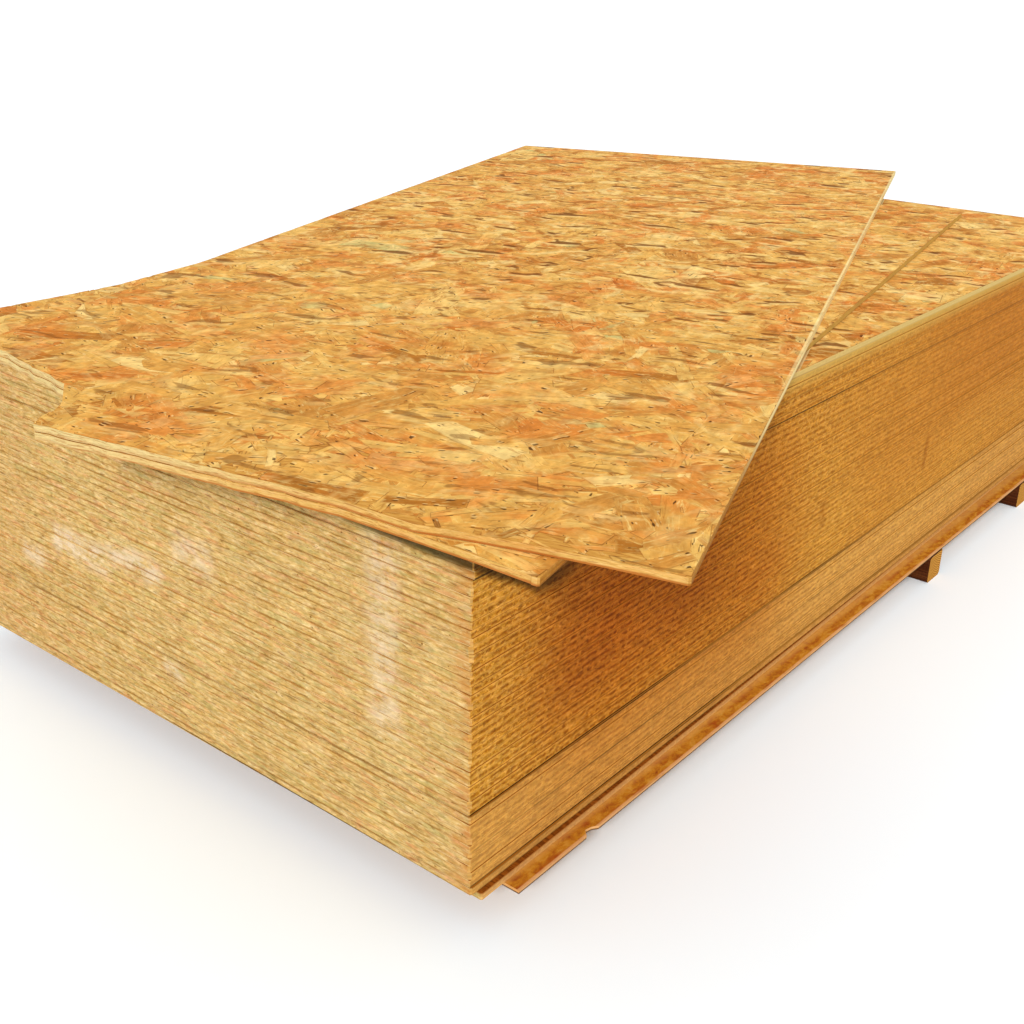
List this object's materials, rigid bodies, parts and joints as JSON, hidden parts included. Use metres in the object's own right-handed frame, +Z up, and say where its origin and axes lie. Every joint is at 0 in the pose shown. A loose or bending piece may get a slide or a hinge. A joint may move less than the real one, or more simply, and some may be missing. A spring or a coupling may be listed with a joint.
{
  "type": "stack of osb sheets",
  "caption": "Pile of oriented strand board sheets on crosswise timber bearers, with loose sheets fanned out on top.",
  "frame": {"origin": "on the floor, at the middle of the whole stack seen from above", "axes": "+X along the long side of the sheets, +Y along their short side, +Z up"},
  "size_m": [3.0676, 2.175, 0.646],
  "materials": {
    "osb": "pressed strands, sawn edges",
    "base": "stained strand board",
    "timber": "rough sawn"
  },
  "bodies": {
    "root": {"board_01": "osb", "board_02": "osb", "board_03": "osb", "board_04": "osb", "board_05": "osb", "board_06": "osb", "board_07": "osb", "board_08": "osb", "board_09": "osb", "board_10": "osb", "board_11": "osb", "board_12": "osb", "board_13": "osb", "board_14": "osb", "board_15": "osb", "board_16": "osb", "board_17": "osb", "board_18": "osb", "board_19": "osb", "board_20": "osb", "board_21": "osb", "board_22": "osb", "board_23": "osb", "board_24": "osb", "board_25": "osb", "board_26": "osb", "board_27": "osb", "board_28": "osb", "board_29": "osb", "board_30": "osb", "board_31": "osb", "board_32": "osb", "board_33": "osb", "board_34": "osb", "board_35": "osb", "board_36": "osb", "board_37": "osb", "board_38": "osb", "board_39": "osb", "board_40": "osb", "board_41": "osb", "board_42": "osb", "board_43": "osb", "board_44": "osb", "board_45": "osb", "board_46": "osb", "board_47": "osb", "board_48": "osb", "loose_sheet_lower": "osb", "loose_sheet_upper": "osb", "cover_sheet": "osb", "base_sheet": "base", "bearer_1": "timber", "bearer_2": "timber", "bearer_3": "timber", "bearer_4": "timber"}
  },
  "joints": []
}
